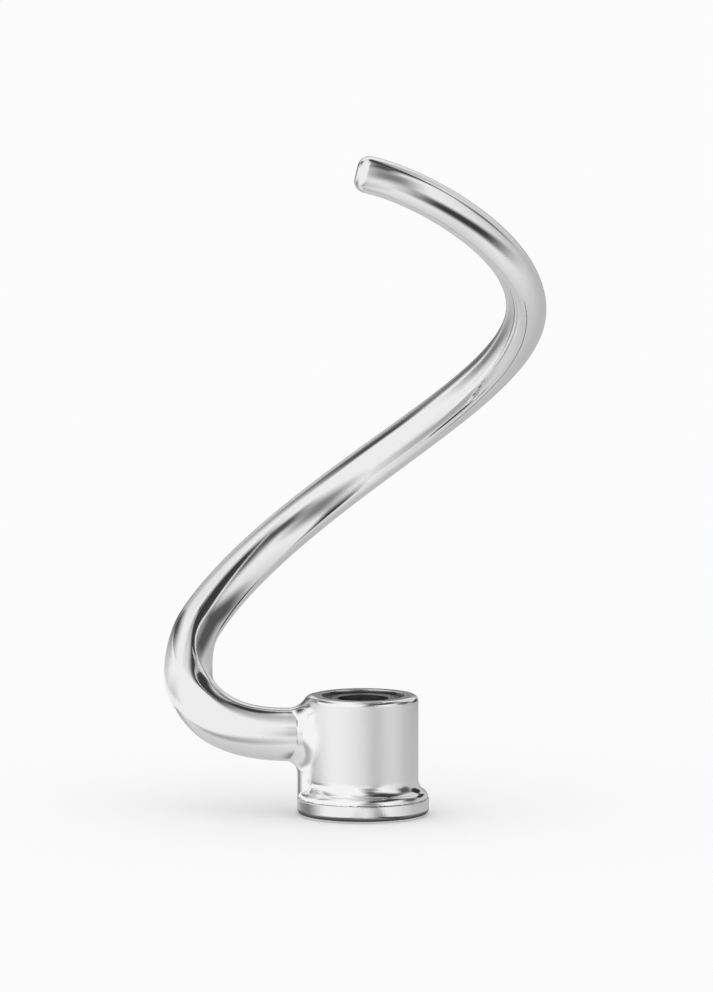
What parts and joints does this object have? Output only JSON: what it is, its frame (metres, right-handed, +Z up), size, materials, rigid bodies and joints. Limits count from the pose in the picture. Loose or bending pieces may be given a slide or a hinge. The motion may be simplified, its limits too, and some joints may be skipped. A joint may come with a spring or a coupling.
{
  "type": "spiral dough hook",
  "caption": "Spiral dough hook for a stand mixer: a tapered arm of cornered section that climbs round the axis of a bored hub with a collar.",
  "frame": {"origin": "on the hub's axis, in the plane of the collar's face that meets the mixer, which is the face the hook stands on", "axes": "+Z up the hub's axis from the mixer end to the arm's tip, which is the longest extent; the arm leaves the hub towards -X and its tip ends over -Y"},
  "size_m": [0.0967, 0.0914, 0.1694],
  "materials": {
    "polished_steel": "mirror-polished stainless steel",
    "satin_steel": "satin-turned stainless steel",
    "dark_steel": "plain machined steel"
  },
  "bodies": {
    "root": {"spiral_arm": "polished_steel", "hub": "satin_steel", "collar": "polished_steel", "shaft_sleeve": "dark_steel"}
  },
  "joints": []
}
